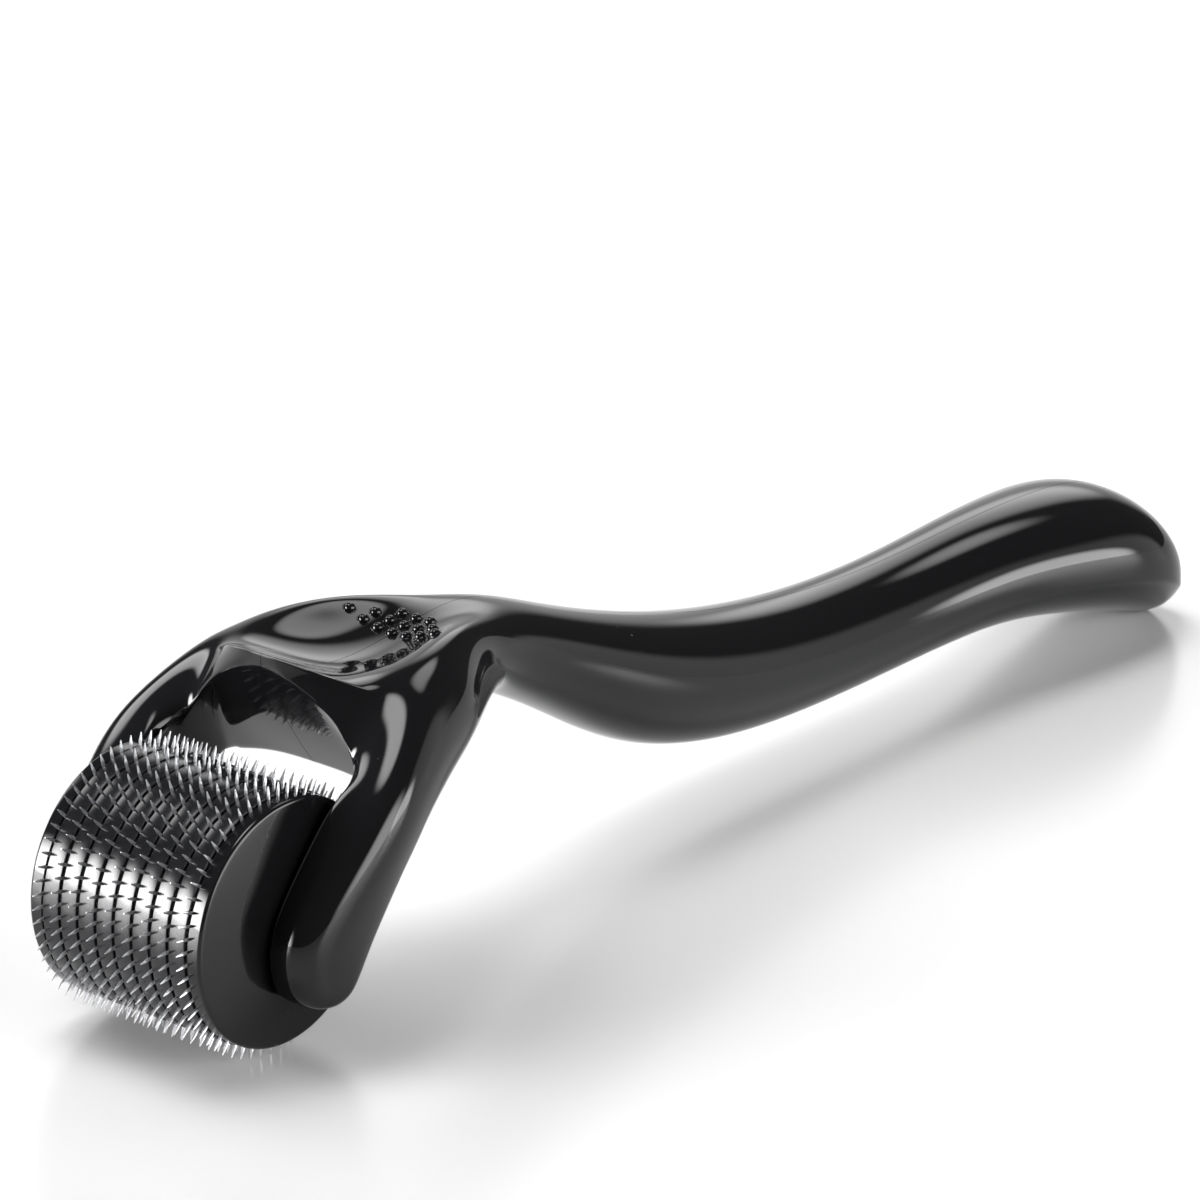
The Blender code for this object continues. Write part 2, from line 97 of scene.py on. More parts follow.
# ---------------------------------------------------------------- node trees
class Tree:
    """A short way to add and join the nodes of one tree."""

    def __init__(self, nodes: bpy.types.NodeTree) -> None:
        """Keep the tree that the nodes go in."""
        self.tree = nodes

    def add(self, kind: str, settings: Optional[dict] = None, **values: object) -> bpy.types.Node:
        """Add a node.

        Args:
            kind: Blender's name for the node.
            settings: Properties of the node itself.
            values: Input sockets by name, with underscores for spaces: a number or another socket.

        Returns:
            The new node.
        """
        node = self.tree.nodes.new(kind)
        for name, value in (settings or {}).items():
            setattr(node, name, value)
        for name, value in values.items():
            self.feed(node.inputs[name.replace("_", " ")], value)
        return node

    def feed(self, socket: bpy.types.NodeSocket, value: object) -> None:
        """Link a socket to another one, or set its value."""
        if isinstance(value, bpy.types.NodeSocket):
            self.tree.links.new(value, socket)
        else:
            socket.default_value = value

    def maths(self, operation: str, first: object, second: object = 0.0) -> bpy.types.NodeSocket:
        """Result of one operation on two numbers."""
        node = self.add("ShaderNodeMath", {"operation": operation})
        self.feed(node.inputs[0], first)
        self.feed(node.inputs[1], second)
        return node.outputs[0]

    def ramp(self, value: bpy.types.NodeSocket, start: float, end: float) -> bpy.types.NodeSocket:
        """Mask that is 0 where the value is at its start and 1 where it is at its end."""
        node = self.add("ShaderNodeMapRange", Value=value)
        node.inputs["From Min"].default_value = start
        node.inputs["From Max"].default_value = end
        return node.outputs["Result"]


def add_input(tree: bpy.types.NodeTree, name: str, kind: str, default: object = None) -> None:
    """Add a named input to a tree, with its default value if it has one."""
    made = tree.interface.new_socket(name, in_out="INPUT", socket_type=kind)
    if default is not None:
        made.default_value = default


def add_output(tree: bpy.types.NodeTree, name: str, kind: str) -> None:
    """Add a named output to a tree."""
    tree.interface.new_socket(name, in_out="OUTPUT", socket_type=kind)


# ---------------------------------------------------------------- finishes
def moulding_group() -> bpy.types.NodeTree:
    """Surface of glossy moulded plastic: fine flow ripple, handling haze and specks of dust.

    Returns:
        A shader group with the inputs Gloss, Haze, Ripple Size and Dust, and the outputs
        Roughness, Height and Dust Mask.
    """
    tree = bpy.data.node_groups.new("moulded_surface", "ShaderNodeTree")
    for name, default in (("Gloss", 0.06), ("Haze", 0.05), ("Ripple Size", 300.0), ("Dust", 0.3)):
        add_input(tree, name, "NodeSocketFloat", default)
    for name in ("Roughness", "Height", "Dust Mask"):
        add_output(tree, name, "NodeSocketFloat")
    smear_size, speck_size, cluster_size = 70.0, 900.0, 160.0
    dust_roughness = 0.4
    make = Tree(tree)
    given = make.add("NodeGroupInput").outputs
    place = make.add("ShaderNodeTexCoord").outputs["Object"]
    ripple = make.add("ShaderNodeTexNoise", Vector=place, Scale=given["Ripple Size"], Detail=1.0)
    smear = make.add("ShaderNodeTexNoise", Vector=place, Scale=smear_size, Detail=4.0, Roughness=0.6)
    speck = make.add("ShaderNodeTexVoronoi", Vector=place, Scale=speck_size)
    cluster = make.add("ShaderNodeTexNoise", Vector=place, Scale=cluster_size, Detail=2.0)
    specks = make.ramp(speck.outputs["Distance"], 0.10, 0.03)
    clusters = make.ramp(cluster.outputs["Fac"], 0.58, 0.72)
    dust = make.maths("MULTIPLY", make.maths("MULTIPLY", specks, clusters), given["Dust"])
    haze = make.maths("MULTIPLY", make.ramp(smear.outputs["Fac"], 0.45, 0.75), given["Haze"])
    rough = make.maths("ADD", haze, given["Gloss"])
    rough = make.maths("ADD", rough, make.maths("MULTIPLY", dust, dust_roughness))
    make.add("NodeGroupOutput", Roughness=rough, Height=ripple.outputs["Fac"], Dust_Mask=dust)
    return tree


@dataclass(frozen=True)
class MouldedGloss:
    """High gloss moulded plastic."""

    name: str
    colour: tuple[float, float, float]
    gloss: float = 0.05
    haze: float = 0.03
    ripple_size: float = 260.0
    ripple_depth: float = 0.004 * MM
    dust: float = 0.25
    ior: float = 1.40

    def material(self, surface: bpy.types.NodeTree) -> bpy.types.Material:
        """Build the material.

        Args:
            surface: The shared group for moulded surfaces.

        Returns:
            A material that reads the piece's own coordinates.
        """
        made = bpy.data.materials.new(self.name)
        made.use_nodes = True
        make = Tree(made.node_tree)
        shader = made.node_tree.nodes["Principled BSDF"]
        group = make.add("ShaderNodeGroup", {"node_tree": surface})
        for name, value in (
            ("Gloss", self.gloss),
            ("Haze", self.haze),
            ("Ripple Size", self.ripple_size),
            ("Dust", self.dust),
        ):
            group.inputs[name].default_value = value
        base = make.add("ShaderNodeMix", {"data_type": "RGBA"})
        make.feed(base.inputs["Factor"], group.outputs["Dust Mask"])
        colours = [socket for socket in base.inputs if socket.type == "RGBA"]
        colours[0].default_value = (*self.colour, 1.0)
        colours[1].default_value = DUST_COLOUR
        mixed = [socket for socket in base.outputs if socket.type == "RGBA"][0]
        bump = make.add("ShaderNodeBump", Height=group.outputs["Height"])
        bump.inputs["Distance"].default_value = self.ripple_depth
        bump.inputs["Strength"].default_value = 1.0
        make.feed(shader.inputs["Base Color"], mixed)
        make.feed(shader.inputs["Roughness"], group.outputs["Roughness"])
        make.feed(shader.inputs["Normal"], bump.outputs["Normal"])
        shader.inputs["IOR"].default_value = self.ior
        return made


@dataclass(frozen=True)
class NeedleSteel:
    """Bright etched stainless steel with a faint grain."""

    name: str = "needle_steel_bright"
    colour: tuple[float, float, float] = (0.78, 0.78, 0.80)
    tint: tuple[float, float, float] = (0.55, 0.56, 0.58)
    tint_until: float = 0.35
    colour_from: float = 0.6
    grain_size: float = 6000.0
    roughness: float = 0.26
    roughness_range: float = 0.16

    def material(self) -> bpy.types.Material:
        """Build the material, which reads the piece's own coordinates."""
        made = bpy.data.materials.new(self.name)
        made.use_nodes = True
        make = Tree(made.node_tree)
        shader = made.node_tree.nodes["Principled BSDF"]
        place = make.add("ShaderNodeTexCoord").outputs["Object"]
        grain = make.add("ShaderNodeTexNoise", Vector=place, Scale=self.grain_size, Detail=2.0)
        tone = make.add("ShaderNodeValToRGB", Fac=grain.outputs["Fac"])
        stops = tone.color_ramp.elements
        for stop, position, colour in (
            (stops[0], self.tint_until, self.tint),
            (stops[1], self.colour_from, self.colour),
        ):
            stop.position = position
            stop.color = (*colour, 1.0)
        rough = make.maths("MULTIPLY", grain.outputs["Fac"], self.roughness_range)
        rough = make.maths("ADD", rough, self.roughness)
        make.feed(shader.inputs["Base Color"], tone.outputs["Color"])
        make.feed(shader.inputs["Roughness"], rough)
        shader.inputs["Metallic"].default_value = 1.0
        return made


# ---------------------------------------------------------------- pieces
def plain_mesh(item: bpy.types.Object, name: str) -> bpy.types.Mesh:
    """Copy of an object's mesh with its modifiers applied, smooth between its sharp edges."""
    bpy.context.view_layer.update()
    mesh = bpy.data.meshes.new_from_object(item.evaluated_get(bpy.context.evaluated_depsgraph_get()))
    mesh.name = name
    mesh.shade_smooth()
    mesh.set_sharp_from_angle(angle=SHARP_ANGLE)
    return mesh


def settle(item: bpy.types.Object) -> bpy.types.Object:
    """Turn an object's modifiers into its mesh."""
    mesh = plain_mesh(item, item.name)
    item.modifiers.clear()
    item.data = mesh
    return item


def add_piece(
    name: str, mesh: bpy.types.Mesh, material: Optional[bpy.types.Material] = None
) -> bpy.types.Object:
    """Show a mesh as an object of its own."""
    item = bpy.data.objects.new(name, mesh)
    bpy.context.scene.collection.objects.link(item)
    if material:
        mesh.materials.append(material)
    return item


def hand_over(item: bpy.types.Object, body: Body, slot: str, *nodes: str) -> None:
    """Let a finished piece ride on its body in place of CAD nodes.

    Args:
        item: The finished piece.
        body: The body it moves with.
        slot: Not used.
        nodes: The CAD nodes it stands for.
    """
    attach(item, body.value)
    if nodes:
        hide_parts(*nodes)
    log.info("%s: %d faces on %s", item.name, len(item.data.polygons), body.value)


def remove_piece(item: bpy.types.Object) -> None:
    """Remove a helper object."""
    bpy.data.objects.remove(item, do_unlink=True)


# ---------------------------------------------------------------- handle
@dataclass
class Handle:
    """Two-part moulded handle: grip, thumb dish with dots, and the fork's two arms."""

    material: bpy.types.Material
    reach: float = 127.1 * MM
    neck: float = 31.5 * MM
    arm_inner: float = 9.67 * MM
    arm_outer: float = 13.97 * MM
    lip_half_width: float = 8.8 * MM
    dish_back_half_width: float = 6.6 * MM
    dish_middle_half_width: float = 9.8 * MM
    dish_front_half_width: float = 9.3 * MM
    parting_gap: float = 0.05 * MM
    pin_socket: float = 1.58 * MM
    pin_socket_from: float = 9.0 * MM
    pin_socket_to: float = 12.57 * MM
    pin_socket_sides: int = 48
    ring_points: int = 8
    levels: int = 4
    # Share of the way from neck to tail, then top, bottom and half width in mm.
    grip: tuple = (
        (0.00, 16.5, 8.4, 4.7),
        (0.10, 13.6, 4.5, 4.9),
        (0.20, 11.2, -0.6, 6.1),
        (0.32, 9.3, -2.1, 6.4),
        (0.46, 8.7, -1.2, 5.8),
        (0.60, 9.9, 0.6, 5.5),
        (0.72, 11.9, 2.2, 6.1),
        (0.82, 13.0, 1.8, 7.6),
        (0.91, 13.2, 0.7, 8.8),
        (0.97, 10.5, -0.6, 7.5),
        (1.00, 6.4, -0.7, 4.4),
    )
    # Angle about the drum's axis, distance outside the needle tips (mm), share of half width.
    dish_back: tuple = (
        (32.1, 17.5, 0.00),
        (32.9, 17.8, 0.42),
        (35.0, 19.0, 0.80),
        (32.3, 18.2, 1.02),
        (21.0, 18.4, 1.05),
        (17.0, 18.2, 0.75),
        (17.4, 18.0, 0.40),
        (17.4, 18.0, 0.00),
    )
    dish_middle: tuple = (
        (38.2, 12.2, 0.00),
        (39.4, 12.4, 0.40),
        (43.4, 13.9, 0.76),
        (40.6, 13.5, 1.02),
        (24.2, 14.4, 1.06),
        (21.6, 10.6, 0.76),
        (24.0, 10.3, 0.40),
        (24.2, 10.3, 0.00),
    )
    dish_front: tuple = (
        (48.9, 8.2, 0.00),
        (50.4, 8.8, 0.43),
        (51.5, 9.6, 0.84),
        (44.8, 10.7, 1.26),
        (24.6, 11.2, 1.24),
        (21.4, 7.0, 0.89),
        (25.0, 7.07, 0.45),
        (25.0, 7.07, 0.00),
    )
    lip: tuple = (
        (71.2, 8.2, 0.00),
        (65.5, 7.8, 0.52),
        (51.0, 8.1, 1.00),
        (51.0, 7.9, 1.50),
        (25.4, 8.0, 1.42),
        (22.0, 3.5, 1.04),
        (27.5, 3.7, 0.52),
        (27.5, 3.7, 0.00),
    )
    lip_underside: tuple = ((68.7, 7.2, 0.00), (65.5, 6.3, 0.42), (59.6, 4.9, 0.76))
    web_hollow: tuple = ((46.2, 3.6, 0.00), (46.2, 3.6, 0.48), (47.0, 3.7, 0.84))
    arm_root: tuple = (38.5, 6.1)
    # Share of the way from pivot to fork, bow, half depth (mm), tilt (degrees), flare (mm).
    arm: tuple = (
        (0.71, 0.5, 4.6, -35.0, 2.2),
        (0.45, -0.2, 4.9, -26.0, 2.3),
        (0.23, -1.1, 5.3, -19.0, 1.6),
        (0.04, -2.1, 5.5, -12.0, 0.7),
        (-0.09, -3.9, 4.3, -5.0, 0.0),
        (-0.20, -5.5, 2.2, -2.0, 0.0),
    )
    # Shares of an arm's half depth at its rear outer edge and at its two inner points.
    arm_rear_share: float = 0.72
    arm_inner_share: float = 0.4
    arm_creases: tuple = (0.5, 0.0, 0.15, 0.5)
    lip_crease: float = 0.9
    gusset_crease: float = 0.6
    web_crease: float = 0.9
    rim_crease: float = 0.2
    tail_crease: float = 0.7
    tail_crease_from: float = 0.72
    form: bmesh.types.BMesh = field(default_factory=bmesh.new)

    def grip_section(self, share: float, top: float, bottom: float, half_width: float) -> list[Vector]:
        """Rounded half section of the grip, from its top to its bottom on the -Y side."""
        x = self.neck + share * (self.reach - self.neck)
        fall = DRUM_AXIS.z * (1.0 - share)
        middle = fall + (top + bottom) / 2 * MM
        step = math.pi / (self.ring_points - 1)
        # Subdivision draws a ring of even steps inwards by the inverse of this factor.
        swell = 6.0 / (4.0 + 2.0 * math.cos(step))
        section = []
        for index in range(self.ring_points):
            angle = math.pi / 2 - index * step
            rise = (top - bottom) / 2 * MM * math.sin(angle) * swell
            section.append(Vector((x, -half_width * MM * math.cos(angle) * swell, middle + rise)))
        section[0].y = 0.0
        section[-1].y = 0.0
        return section

    def about_drum(self, angle: float, distance: float, y: float) -> Vector:
        """Point at an angle about the drum's axis and a distance (mm) outside the needle tips."""
        away = DRUM_AXIS.z + distance * MM
        turn = math.radians(angle)
        return Vector((away * math.cos(turn), -y, DRUM_AXIS.z + away * math.sin(turn)))

    def arm_sections(self) -> list[list[Vector]]:
        """Six-sided sections of one arm, from the fork to the tip."""
        pivot = Vector((0.0, 0.0, DRUM_AXIS.z))
        along = self.about_drum(*self.arm_root, 0.0) - pivot
        above = Vector((-along.z, 0.0, along.x)).normalized()
        sections = []
        for share, bow, half_depth, tilt, flare in self.arm:
            centre = pivot + along * share + above * bow * MM
            lean = math.radians(tilt)
            back = Vector((math.cos(lean), 0.0, math.sin(lean))) * half_depth * MM
            inner = Vector((0.0, -self.arm_inner, 0.0))
            outer = Vector((0.0, -self.arm_outer, 0.0))
            flared = Vector((0.0, -self.arm_outer - flare * MM, 0.0))
            sections.append(
                [
                    centre - back + inner,
                    centre - back + flared,
                    centre + back * self.arm_rear_share + outer,
                    centre + back + inner,
                    centre + back * self.arm_inner_share + inner,
                    centre - back * self.arm_inner_share + inner,
                ]
            )
        return sections

    def points(self, places: list[Vector]) -> list[bmesh.types.BMVert]:
        """Add one row of cage points."""
        return [self.form.verts.new(place) for place in places]

    def crotch(self, places: tuple, half_width: float) -> list[bmesh.types.BMVert]:
        """Add one row of points given about the drum's axis."""
        return self.points([self.about_drum(angle, out, share * half_width) for angle, out, share in places])

    def band(self, first: list, second: list) -> None:
        """Add quads between two rows of points."""
        for index in range(len(first) - 1):
            self.form.faces.new((first[index], first[index + 1], second[index + 1], second[index]))

    def sharpen(self, row: list, weight: float) -> None:
        """Crease the edges along a row of points."""
        crease = self.form.edges.layers.float["crease_edge"]
        for first, second in zip(row, row[1:]):
            self.form.edges.get((first, second))[crease] = weight

    def build_cage(self) -> bpy.types.Mesh:
        """Coarse quads of the left side of the handle, open on the middle plane."""
        self.form.edges.layers.float.new("crease_edge")
        stations = list(reversed(self.grip))
        grip = [self.points(self.grip_section(*station)) for station in stations]
        back = self.crotch(self.dish_back, self.dish_back_half_width)
        middle = self.crotch(self.dish_middle, self.dish_middle_half_width)
        front = self.crotch(self.dish_front, self.dish_front_half_width)
        lip, under, hollow = (
            self.crotch(places, self.lip_half_width)
            for places in (self.lip, self.lip_underside, self.web_hollow)
        )
        tail = grip[0]
        last = len(tail) - 1
        for index in range(last // 2):
            self.form.faces.new((tail[index], tail[index + 1], tail[last - index - 1], tail[last - index]))
        rows = grip + [back, middle, front, lip]
        for first, second in zip(rows, rows[1:]):
            self.band(first, second)
        web_edge = [lip[7], lip[6], lip[5]]
        for first, second in ((lip[:3], under), (under, hollow), (hollow, web_edge)):
            self.band(first, second)
        root = [lip[2], lip[3], lip[4], lip[5], hollow[2], under[2]]
        arm = [root] + [self.points(section) for section in self.arm_sections()]
        for first, second in zip(arm, arm[1:]):
            self.band(first + first[:1], second + second[:1])
        tip = arm[-1]
        self.form.faces.new(tip[:4])
        self.form.faces.new((tip[0], tip[3], tip[4], tip[5]))
        self.sharpen(lip[:3], self.lip_crease)
        self.sharpen(under, self.lip_crease)
        self.sharpen(web_edge, self.web_crease)
        self.sharpen([lip[2], front[2], middle[2], back[2]], self.rim_crease)
        for corner, weight in enumerate(self.arm_creases):
            run = arm if corner == 3 else arm[1:]
            self.sharpen([section[corner] for section in run], weight)
        self.sharpen([under[2], arm[1][5]], self.gusset_crease)
        creased = [row for row, station in zip(grip, stations) if station[0] >= self.tail_crease_from]
        self.sharpen([row[4] for row in creased], self.tail_crease)
        bmesh.ops.recalc_face_normals(self.form, faces=self.form.faces)
        mesh = bpy.data.meshes.new("handle_cage")
        self.form.to_mesh(mesh)
        self.form.free()
        return mesh

    def smooth_form(self) -> bpy.types.Object:
        """The whole handle as one smooth closed form in its place."""
        item = add_piece("handle_form", self.build_cage())
        mirror = item.modifiers.new("other_side", "MIRROR")
        mirror.use_axis = (False, True, False)
        mirror.merge_threshold = 0.01 * MM
        smooth = item.modifiers.new("smooth", "SUBSURF")
        smooth.levels = smooth.render_levels = self.levels
        settle(item)
        item.data.transform(Matrix.Translation((DRUM_AXIS.x, 0.0, 0.0)))
        return item

    def half(self, whole: bpy.types.Object, side: Side) -> bpy.types.Object:
        """One half of the handle, with a flat parting face, a flat foot and its pin socket."""
        form = bmesh.new()
        form.from_mesh(whole.data)
        toward = Vector((0.0, float(side.value), 0.0))
        cuts = ((toward * self.parting_gap / 2, -toward), (Vector(), Vector((0.0, 0.0, -1.0))))
        for point, away in cuts:
            found = bmesh.ops.bisect_plane(
                form,
                geom=form.verts[:] + form.edges[:] + form.faces[:],
                dist=0.0001 * MM,
                plane_co=point,
                plane_no=away,
                clear_outer=True,
            )
            rim = [part for part in found["geom_cut"] if isinstance(part, bmesh.types.BMEdge)]
            bmesh.ops.triangle_fill(form, use_beauty=True, edges=rim)
        bmesh.ops.recalc_face_normals(form, faces=form.faces)
        mesh = bpy.data.meshes.new(f"handle_{side.name.lower()}_shell")
        form.to_mesh(mesh)
        form.free()
        item = add_piece(mesh.name, mesh, self.material)
        socket = self.socket_cutter(side)
        cut = item.modifiers.new("pin_socket", "BOOLEAN")
        cut.operation = "DIFFERENCE"
        cut.solver = "EXACT"
        cut.object = socket
        settle(item)
        remove_piece(socket)
        return item

    def socket_cutter(self, side: Side) -> bpy.types.Object:
        """Cylinder along Y that cuts the pin's socket in one arm."""
        depth = self.pin_socket_to - self.pin_socket_from
        middle = (self.pin_socket_to + self.pin_socket_from) / 2 * side.value
        form = bmesh.new()
        place = Matrix.Translation((DRUM_AXIS.x, middle, DRUM_AXIS.z)) @ Matrix.Rotation(TURN / 4, 4, "X")
        bmesh.ops.create_cone(
            form,
            cap_ends=True,
            segments=self.pin_socket_sides,
            radius1=self.pin_socket,
            radius2=self.pin_socket,
            depth=depth,
            matrix=place,
        )
        mesh = bpy.data.meshes.new("pin_socket")
        form.to_mesh(mesh)
        form.free()
        return add_piece("pin_socket", mesh)

    def build(self) -> None:
        """Build both halves and the grip dots."""
        whole = self.smooth_form()
        for side in Side:
            name = side.name.lower()
            hand_over(self.half(whole, side), Body.HANDLE, "handle_plastic", f"handle_{name}_half")
        GripDots(self.material, whole).build()
        remove_piece(whole)


@dataclass
class GripDots:
    """Raised dots in the thumb dish, in rows that shorten towards the neck."""

    material: bpy.types.Material
    surface: bpy.types.Object
    radius: float = 0.48 * MM
    height: float = 0.46 * MM
    foot: float = 0.06 * MM
    pitch: float = 1.48 * MM
    first_row: float = 22.5 * MM
    row_counts: tuple = (7, 5, 3)
    sides: int = 28
    rings: int = 16
    foot_sides: int = 10

    def seats(self) -> bpy.types.Mesh:
        """Points well above the dish, one for each dot."""
        start = CAD_BOX[1][2] * 2
        places = []
        for row, count in enumerate(self.row_counts):
            for index in range(count):
                y = (index - (count - 1) / 2) * self.pitch
                places.append((DRUM_AXIS.x + self.first_row + row * self.pitch, y, start))
        mesh = bpy.data.meshes.new("grip_dots")
        mesh.from_pydata(places, [], [])
        return mesh

    def tree(self) -> bpy.types.NodeTree:
        """Tree that drops each seat on the surface and puts a dot with a rounded foot there."""
        tree = bpy.data.node_groups.new("dots_on_a_surface", "GeometryNodeTree")
        add_input(tree, "Geometry", "NodeSocketGeometry")
        add_input(tree, "Surface", "NodeSocketObject")
        for name, size in (("Radius", self.radius), ("Height", self.height), ("Foot", self.foot)):
            add_input(tree, name, "NodeSocketFloat", size)
        add_input(tree, "Material", "NodeSocketMaterial")
        add_output(tree, "Geometry", "NodeSocketGeometry")
        make = Tree(tree)
        given = make.add("NodeGroupInput").outputs
        surface = make.add("GeometryNodeObjectInfo", {"transform_space": "RELATIVE"}, Object=given["Surface"])
        drop = make.add("GeometryNodeRaycast", Target_Geometry=surface.outputs["Geometry"])
        drop.inputs["Ray Direction"].default_value = (0.0, 0.0, -1.0)
        drop.inputs["Ray Length"].default_value = 1.0
        facing = make.add(
            "FunctionNodeAlignRotationToVector", {"axis": "Z"}, Vector=drop.outputs["Hit Normal"]
        )
        stored = make.add(
            "GeometryNodeStoreNamedAttribute",
            {"data_type": "QUATERNION", "domain": "POINT"},
            Geometry=given["Geometry"],
            Name="facing",
            Value=facing.outputs["Rotation"],
        )
        seated = make.add(
            "GeometryNodeSetPosition",
            Geometry=stored.outputs["Geometry"],
            Position=drop.outputs["Hit Position"],
        )
        kept = make.add("GeometryNodeInputNamedAttribute", {"data_type": "QUATERNION"}, Name="facing")
        bead = make.add(
            "GeometryNodeMeshUVSphere", Segments=self.sides, Rings=self.rings, Radius=given["Radius"]
        )
        squat = make.maths("DIVIDE", given["Height"], given["Radius"])
        scale = make.add("ShaderNodeCombineXYZ", X=1.0, Y=1.0, Z=squat)
        low = make.add("GeometryNodeTransform", Geometry=bead.outputs["Mesh"], Scale=scale.outputs[0])
        foot_radius = make.maths("ADD", given["Radius"], given["Foot"])
        path = make.add("GeometryNodeCurvePrimitiveCircle", Resolution=self.sides, Radius=foot_radius)
        bar = make.add(
            "GeometryNodeCurvePrimitiveCircle", Resolution=self.foot_sides, Radius=given["Foot"]
        )
        foot = make.add(
            "GeometryNodeCurveToMesh", Curve=path.outputs["Curve"], Profile_Curve=bar.outputs["Curve"]
        )
        both = make.add("GeometryNodeJoinGeometry")
        for part in (low.outputs["Geometry"], foot.outputs["Mesh"]):
            tree.links.new(part, both.inputs["Geometry"])
        placed = make.add(
            "GeometryNodeInstanceOnPoints",
            Points=seated.outputs["Geometry"],
            Instance=both.outputs["Geometry"],
            Rotation=[out for out in kept.outputs if out.enabled][0],
        )
        real = make.add("GeometryNodeRealizeInstances", Geometry=placed.outputs["Instances"])
        dressed = make.add(
            "GeometryNodeSetMaterial", Geometry=real.outputs["Geometry"], Material=given["Material"]
        )
        make.add("NodeGroupOutput", Geometry=dressed.outputs["Geometry"])
        return tree

    def build(self) -> None:
        """Build the dots as one piece of the handle."""
        item = add_piece("grip_dots", self.seats())
        run_tree(item, self.tree(), Surface=self.surface, Material=self.material)
        hand_over(item, Body.HANDLE, "handle_plastic")


def run_tree(item: bpy.types.Object, tree: bpy.types.NodeTree, **values: object) -> None:
    """Run a geometry tree on an object and keep its result as a plain mesh.

    Args:
        item: The object, whose mesh is the tree's input.
        tree: The tree to run.
        values: The tree's named inputs, with underscores for spaces.
    """
    live = item.modifiers.new(tree.name, "NODES")
    live.node_group = tree
    named = {
        entry.name: entry.identifier
        for entry in tree.interface.items_tree
        if entry.item_type == "SOCKET" and entry.in_out == "INPUT"
    }
    for name, value in values.items():
        live[named[name.replace("_", " ")]] = value
    settle(item)


# ---------------------------------------------------------------- drum
def ring_tree() -> bpy.types.NodeTree:
    """Tree for a flat ring about Y with rounded edges.

    Returns:
        A tree with the inputs Radius, Bore, Length and Edge.
    """
    tree = bpy.data.node_groups.new("rounded_ring", "GeometryNodeTree")
    for name in ("Radius", "Bore", "Length", "Edge"):
        add_input(tree, name, "NodeSocketFloat", MM)
    add_output(tree, "Geometry", "NodeSocketGeometry")
    make = Tree(tree)
    given = make.add("NodeGroupInput").outputs
    wall = make.maths("SUBTRACT", given["Radius"], given["Bore"])
    middle = make.maths("MULTIPLY", make.maths("ADD", given["Radius"], given["Bore"]), 0.5)
    path = make.add("GeometryNodeCurvePrimitiveCircle", Resolution=RING_SIDES, Radius=middle)
    section = make.add("GeometryNodeCurvePrimitiveQuadrilateral", Width=wall, Height=given["Length"])
    rounded = make.add(
        "GeometryNodeFilletCurve",
        {"mode": "POLY"},
        Curve=section.outputs["Curve"],
        Radius=given["Edge"],
        Count=RING_EDGE_STEPS,
    )
    ring = make.add(
        "GeometryNodeCurveToMesh", Curve=path.outputs["Curve"], Profile_Curve=rounded.outputs["Curve"]
    )
    upright = make.add(
        "GeometryNodeTransform", Geometry=ring.outputs["Mesh"], Rotation=(TURN / 4, 0.0, 0.0)
    )
    make.add("NodeGroupOutput", Geometry=upright.outputs["Geometry"])
    return tree


def placed_output(make: Tree, geometry: bpy.types.NodeSocket, given: bpy.types.NodeOutputs) -> None:
    """End a drum tree: move the made shape to its place on the axis, realise it and dress it.

    Args:
        make: The tree to end.
        geometry: The made shape, about the origin.
        given: The tree's inputs, with Place and Material among them.
    """
    place = make.add("ShaderNodeCombineXYZ", X=DRUM_AXIS.x, Y=given["Place"], Z=DRUM_AXIS.z)
    moved = make.add("GeometryNodeTransform", Geometry=geometry, Translation=place.outputs[0])
    real = make.add("GeometryNodeRealizeInstances", Geometry=moved.outputs["Geometry"])
    dressed = make.add(
        "GeometryNodeSetMaterial", Geometry=real.outputs["Geometry"], Material=given["Material"]
    )
    make.add("NodeGroupOutput", Geometry=dressed.outputs["Geometry"])


